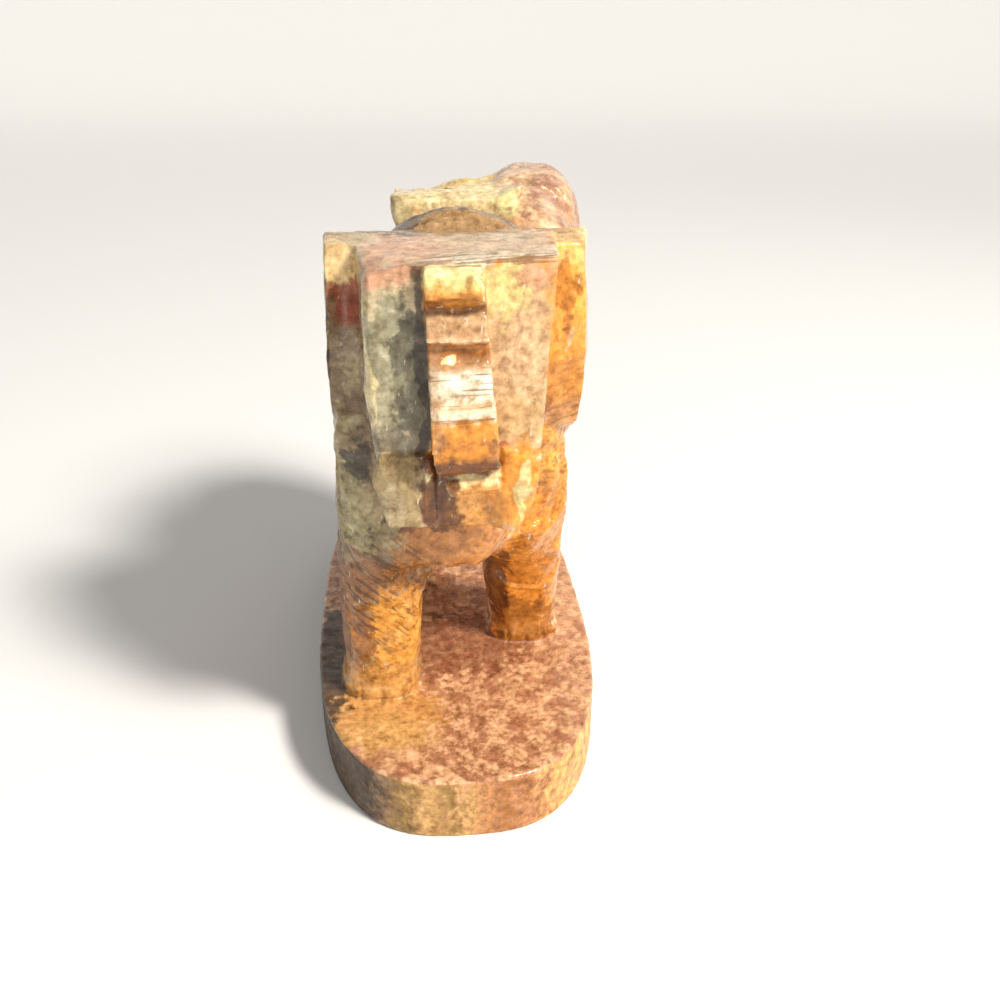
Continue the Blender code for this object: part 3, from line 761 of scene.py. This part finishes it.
def stoneMaterial():
    patch, mottle, strokes = patchGroup(), mottleGroup(), strokeGroup()
    material = bpy.data.materials.new("waxedSoapstone")
    material.use_nodes = True
    tree = material.node_tree
    shader = tree.nodes["Principled BSDF"]
    point = plainPoint(tree)

    # the stone's beds wander, so places are looked up a little to one side
    drift = noiseNode(tree, point, 0.22, 2.0, 0.5)
    sway = vectorNode(tree, "SUBTRACT", drift.outputs["Color"], (0.5, 0.5, 0.5))
    wandering = vectorNode(tree, "ADD", point, vectorNode(tree, "MULTIPLY", sway, (finish["wander"],) * 3))
    cloud = noiseNode(tree, point, 0.50, 4.0, 0.62).outputs["Fac"]
    parts = tree.nodes.new("ShaderNodeSeparateXYZ")
    tree.links.new(point, parts.inputs[0])
    x, back, up = parts.outputs

    def laid(colour, patches):
        for centre, reach, fray, shade, strength in patches:
            mask = placed(tree, patch, Point=wandering, Centre=centre, Reach=reach, Cloud=cloud, Fray=fray,
                          Strength=strength)
            colour = mixColour(tree, mask.outputs["Mask"], colour, shades[shade])
        return colour

    # bulk of the stone: olive on one side, amber on the other
    broad = placed(tree, mottle, Point=wandering, Size=0.13, Low=0.42, High=0.58)
    small = placed(tree, mottle, Point=point, Size=0.45, Low=0.44, High=0.60)
    oliveSide = mixColour(tree, broad.outputs["Mask"], shades["earOlive"], shades["shoulderGreen"])
    oliveSide = mixColour(tree, mathNode(tree, "MULTIPLY", small.outputs["Mask"], 0.55), oliveSide,
                          shades["shoulderBrown"])
    amberSide = mixColour(tree, broad.outputs["Mask"], shades["legAmber"], shades["hip"])
    amberSide = mixColour(tree, mathNode(tree, "MULTIPLY", small.outputs["Mask"], 0.45), amberSide,
                          shades["chest"])
    side = mathNode(tree, "ADD", x, centred(tree, cloud, 26.0))
    colour = mixColour(tree, rangeNode(tree, side, -7.0, 4.0), oliveSide, amberSide)
    colour = laid(colour, figurePatches)

    # pink of the rump, broken by dark spots
    rump = placed(tree, patch, Point=wandering, Centre=(19.0, 64.0, 68.0), Reach=(9.0, 22.0, 17.0),
                  Cloud=cloud, Fray=0.4)
    spots = placed(tree, mottle, Point=point, Size=0.25, Low=0.45, High=0.56)
    spotted = mathNode(tree, "MULTIPLY", rump.outputs["Mask"], spots.outputs["Mask"])
    colour = mixColour(tree, mathNode(tree, "MULTIPLY", spotted, 0.85), colour, shades["lumpDark"])

    # trunk: coloured by height down its steps, with painted highlight and shade on the steps
    height = mathNode(tree, "ADD", up, centred(tree, cloud, 3.4))
    onTrunk = mathNode(tree, "MULTIPLY", rangeNode(tree, back, 5.1, 5.5, 1.0, 0.0),
                       rangeNode(tree, mathNode(tree, "ABSOLUTE", x), 5.0, 5.3, 1.0, 0.0))
    onTrunk = mathNode(tree, "MULTIPLY", onTrunk, rangeNode(tree, up, 76.2, 77.2, 1.0, 0.0))
    colour = mixColour(tree, onTrunk, colour, bedRamp(tree, trunkBandsAndShading, height))
    colour = laid(colour, trunkPatches)

    # base top: pink and mauve clouds, ochre round the leading foot
    clouds = placed(tree, mottle, Point=point, Size=0.27, Low=0.43, High=0.57)
    groundShade = mixColour(tree, clouds.outputs["Mask"], shades["mauve"], shades["pink"])
    groundShade = mixColour(tree, mathNode(tree, "MULTIPLY", clouds.outputs["Fleck"], 0.45), groundShade,
                            shades["mauveDark"])
    groundShade = laid(groundShade, groundPatches)
    colour = mixColour(tree, rangeNode(tree, up, 0.25, 0.75, 1.0, 0.0), colour, groundShade)

    # base wall: the same beds seen in section, its dark left end partly painted shade
    wallShade = bedRamp(tree, wallBedsAndShade, mathNode(tree, "ADD", x, centred(tree, cloud, 11.0)))
    paleEnd = rangeNode(tree, x, -16.0, 2.0, 0.05, 0.55)
    for spotMask, shade in ((small.outputs["Mask"], "mauve"), (clouds.outputs["Fleck"], "mauveDark")):
        wallShade = mixColour(tree, mathNode(tree, "MULTIPLY", spotMask, paleEnd), wallShade, shades[shade])
    onWall = rangeNode(tree, up, *finish["wallEdge"], 1.0, 0.0)
    colour = mixColour(tree, onWall, colour, wallShade)

    # grain through everything, darker rasp strokes, pale rubbed wear with painted glints on what stands
    # out, painted shade in creases
    grain = noiseNode(tree, point, 1.1, 3.0, 0.60).outputs["Fac"]
    tone = mathNode(tree, "ADD", rangeNode(tree, grain, 0.34, 0.66, 0.76, 1.23, smooth=False),
                    centred(tree, cloud, 2.1))
    tints = tree.nodes.new("ShaderNodeCombineXYZ")
    for socket, power in zip(tints.inputs, grainTint):
        tree.links.new(mathNode(tree, "POWER", tone, power), socket)
    colour = vectorNode(tree, "MULTIPLY", colour, tints.outputs["Vector"])
    rasp = placed(tree, strokes, Point=point, Turn=(0.0, math.radians(-42), 0.0), Length=0.13, Width=1.25)
    cross = placed(tree, strokes, Point=point, Turn=(0.0, math.radians(14), math.radians(22)), Length=0.14,
                   Width=2.0)
    legs = placed(tree, patch, Point=point, Centre=(-13.0, 24.0, 23.0), Reach=(10.0, 22.0, 14.0),
                  Cloud=cloud, Fray=0.2, Edge=0.4)
    flank = placed(tree, patch, Point=point, Centre=(16.0, 32.0, 38.0), Reach=(7.0, 26.0, 22.0),
                   Cloud=cloud, Fray=0.2, Edge=0.4)
    raspMask = mathNode(tree, "MULTIPLY", legs.outputs["Mask"],
                        rangeNode(tree, rasp.outputs["Stroke"], 0.38, 0.47, 1.0, 0.0))
    colour = mixColour(tree, mathNode(tree, "MULTIPLY", raspMask, 0.62), colour, shades["shadeAndStrokeDark"])
    flankMask = mathNode(tree, "MULTIPLY", flank.outputs["Mask"],
                         rangeNode(tree, cross.outputs["Stroke"], 0.38, 0.50, 1.0, 0.0))
    colour = mixColour(tree, mathNode(tree, "MULTIPLY", flankMask, 0.45), colour, shades["recess"])
    # saw lines darker, and small pale flecks as painted glints
    saw = placed(tree, strokes, Point=point, Turn=(0.0, math.radians(2), 0.0), Length=0.06, Width=2.0)
    sawMask = mathNode(tree, "MULTIPLY", onTrunk, rangeNode(tree, up, 56.5, 58.0))
    sawMask = mathNode(tree, "MULTIPLY", sawMask, rangeNode(tree, up, 63.4, 64.2, 1.0, 0.0))
    brow = placed(tree, patch, Point=point, Centre=(3.0, 7.0, 77.2), Reach=(11.0, 3.2, 2.2), Cloud=cloud,
                  Fray=0.1)
    sawMask = mathNode(tree, "ADD", sawMask, brow.outputs["Mask"])
    sawLineDark = rangeNode(tree, saw.outputs["Stroke"], 0.38, 0.47, 0.70, 0.0)
    sawLineDark = mathNode(tree, "MULTIPLY", sawMask, sawLineDark)
    colour = mixColour(tree, sawLineDark, colour, shades["crack"])
    glintStrokes = placed(tree, strokes, Point=point, Turn=(0.0, math.radians(82), 0.0), Length=0.45, Width=1.9)
    glintFlecks = rangeNode(tree, glintStrokes.outputs["Stroke"], 0.685, 0.73, 0.0, 0.60)
    colour = mixColour(tree, mathNode(tree, "MULTIPLY", glintFlecks, rangeNode(tree, up, 2.0, 8.0)), colour,
                       shades["chalk"])
    edgeAndCrease = tree.nodes.new("ShaderNodeAttribute")
    edgeAndCrease.attribute_name = "standOut"
    crown = placed(tree, patch, Point=point, Centre=(0.9, 36.0, 77.0), Reach=(19.0, 9.0, 7.0), Cloud=cloud,
                   Fray=0.1)
    # pale on what stands out: rubbed wear, and painted glints along the edges; kept off the crown's rim
    rubbedAndGlint = mathNode(tree, "MULTIPLY", rangeNode(tree, edgeAndCrease.outputs["Fac"], 0.10, 0.34, 0.0, 0.75),
                      rangeNode(tree, crown.outputs["Mask"], 0.0, 1.0, 1.0, 0.1))
    colour = mixColour(tree, rubbedAndGlint, colour, shades["cream"])
    # painted shade in the creases
    colour = mixColour(tree, rangeNode(tree, edgeAndCrease.outputs["Fac"], -0.28, -0.05, 0.75, 0.0), colour,
                       shades["wine"])
    tree.links.new(colour, shader.inputs["Base Color"])

    # wax: shine varied by noise, duller in the rasp marks and on the base's wall
    dull = noiseNode(tree, point, 0.8, 4.0, 0.6).outputs["Fac"]
    rough = rangeNode(tree, dull, 0.34, 0.66, *finish["rough"], smooth=False)
    for mask, more in ((raspMask, finish["raspRough"]), (onWall, finish["wallRough"])):
        rough = mathNode(tree, "ADD", rough, mathNode(tree, "MULTIPLY", mask, more))
    tree.links.new(rough, shader.inputs["Roughness"])
    coat = rangeNode(tree, onWall, 0.0, 1.0, finish["coat"], finish["wallCoat"])
    tree.links.new(coat, shader.inputs["Coat Weight"])
    shader.inputs["Coat Roughness"].default_value = finish["coatRough"]
    shader.inputs["Specular IOR Level"].default_value = finish["specular"]

    # strokes and grain too fine for the mesh
    raised = mathNode(tree, "MULTIPLY", grain, 0.40)
    for stroke, where, depth in (
            (rasp.outputs["Stroke"], legs.outputs["Mask"], 1.6),
            (cross.outputs["Stroke"], flank.outputs["Mask"], 1.0),
            (saw.outputs["Stroke"], sawMask, 1.6),
            (cross.outputs["Stroke"], 1.0, 0.30)):
        share = mathNode(tree, "MULTIPLY", mathNode(tree, "MULTIPLY", stroke, where), depth)
        raised = mathNode(tree, "ADD", raised, share)
    bump = tree.nodes.new("ShaderNodeBump")
    bump.inputs["Strength"].default_value = finish["bump"]
    bump.inputs["Distance"].default_value = finish["bumpDepth"] * mm
    tree.links.new(raised, bump.inputs["Height"])
    tree.links.new(bump.outputs["Normal"], shader.inputs["Normal"])
    print("stone material:", len(tree.nodes), "nodes")
    return material


studio = {
    "floor": (0.93, 0.925, 0.915), "floorReach": 1.6, "wallRise": 1.2, "wallBend": 0.5,
    "world": (1.0, 0.985, 0.965), "worldStrength": 0.30, "worldSeen": 0.86,
    "sun": {"from": (0.55, -0.48, 0.68), "strength": 2.15, "softness": 10.0, "tint": (1.0, 0.955, 0.88)},
    "panels": {
        # place in m from the middle of the base, width in m, watts, tint
        "keyPanel": ((0.26, -0.24, 0.36), 0.09, 1.5, (1.0, 0.95, 0.87)),
        "frontPanel": ((-0.20, -0.50, 0.24), 0.30, 0.45, (1.0, 0.98, 0.96)),
        "rimPanel": ((0.24, 0.34, 0.34), 0.20, 0.08, (1.0, 0.97, 0.93)),
    },
}


def makeFloor():
    # a sheet of pale paper that sweeps up behind the carving
    reach = studio["floorReach"]
    bm = bmesh.new()
    bmesh.ops.create_grid(bm, x_segments=1, y_segments=1, size=reach)
    rear = [edge for edge in bm.edges if all(vert.co.y > 0.9 * reach for vert in edge.verts)]
    raised = bmesh.ops.extrude_edge_only(bm, edges=rear)
    lifted = [item for item in raised["geom"] if isinstance(item, bmesh.types.BMVert)]
    bmesh.ops.translate(bm, verts=lifted, vec=(0.0, 0.0, studio["wallRise"]))
    bmesh.ops.bevel(bm, geom=rear, offset=studio["wallBend"], offset_type="OFFSET", affect="EDGES",
                    segments=16, profile=0.5, material=-1)
    mesh = bpy.data.meshes.new("palePaper")
    bm.to_mesh(mesh)
    bm.free()
    mesh.shade_smooth()
    floor = bpy.data.objects.new("palePaper", mesh)
    bpy.context.scene.collection.objects.link(floor)
    material = bpy.data.materials.new("palePaper")
    material.use_nodes = True
    shader = material.node_tree.nodes["Principled BSDF"]
    shader.inputs["Base Color"].default_value = (*studio["floor"], 1.0)
    shader.inputs["Roughness"].default_value = 0.9
    mesh.materials.append(material)


def addLamp(name, kind, strength, tint):
    lamp = bpy.data.lights.new(name, kind)
    lamp.energy = strength
    lamp.color = tint
    stand = bpy.data.objects.new(name, lamp)
    bpy.context.scene.collection.objects.link(stand)
    return lamp, stand


def makeLights():
    sun = studio["sun"]
    lamp, stand = addLamp("softSun", "SUN", sun["strength"], sun["tint"])
    lamp.angle = math.radians(sun["softness"])
    stand.rotation_euler = (-Vector(sun["from"])).to_track_quat("-Z", "Y").to_euler()
    middle = (cadBox[0] + cadBox[1]) / 2
    for name, (spot, width, watts, tint) in studio["panels"].items():
        lamp, stand = addLamp(name, "AREA", watts, tint)
        lamp.size = width
        stand.location = spot
        stand.rotation_euler = (middle - Vector(spot)).to_track_quat("-Z", "Y").to_euler()
    world = bpy.data.worlds.new("paleRoom")
    world.use_nodes = True
    tree = world.node_tree
    sky = tree.nodes["Background"]
    sky.inputs["Color"].default_value = (*studio["world"], 1.0)
    ray = tree.nodes.new("ShaderNodeLightPath")     # the room looks pale but lights softly
    seen = rangeNode(tree, ray.outputs["Is Camera Ray"], 0.0, 1.0, studio["worldStrength"],
                     studio["worldSeen"], smooth=False)
    tree.links.new(seen, sky.inputs["Strength"])
    bpy.context.scene.world = world


viewer = {
    # mm in the carver's measures, then degrees
    "x": -6.7, "before": 117.1, "above": 103.5, "turn": 5.45, "down": 25.72, "roll": 0.43,
    "lens": 36.0, "sensor": 36.0, "near": 5.0,
}


def makeCamera():
    turn, down, roll = (math.radians(viewer[key]) for key in ("turn", "down", "roll"))
    ahead = Vector((math.sin(turn) * math.cos(down), math.cos(turn) * math.cos(down), -math.sin(down)))
    right = Vector((math.cos(turn), -math.sin(turn), 0.0))
    upward = right.cross(ahead)
    tiltRight = math.cos(roll) * right + math.sin(roll) * upward
    tiltUp = math.cos(roll) * upward - math.sin(roll) * right
    pose = Matrix((tiltRight, tiltUp, -ahead)).transposed().to_4x4()
    pose.translation = place(viewer["x"], -viewer["before"], viewer["above"])
    camera = bpy.data.cameras.new("viewer")
    camera.lens = viewer["lens"]
    camera.sensor_width = viewer["sensor"]
    camera.clip_start = viewer["near"] * mm
    stand = bpy.data.objects.new("viewer", camera)
    stand.matrix_world = pose
    bpy.context.scene.collection.objects.link(stand)
    bpy.context.scene.camera = stand


makeCamera()
makeFloor()
makeLights()
print("room ready")
elephant = carvedStone()
elephant.data.materials.clear()
elephant.data.materials.append(stoneMaterial())
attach(elephant, "root")
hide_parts("elephant_carving")
bpy.context.scene.view_settings.view_transform = "Standard"
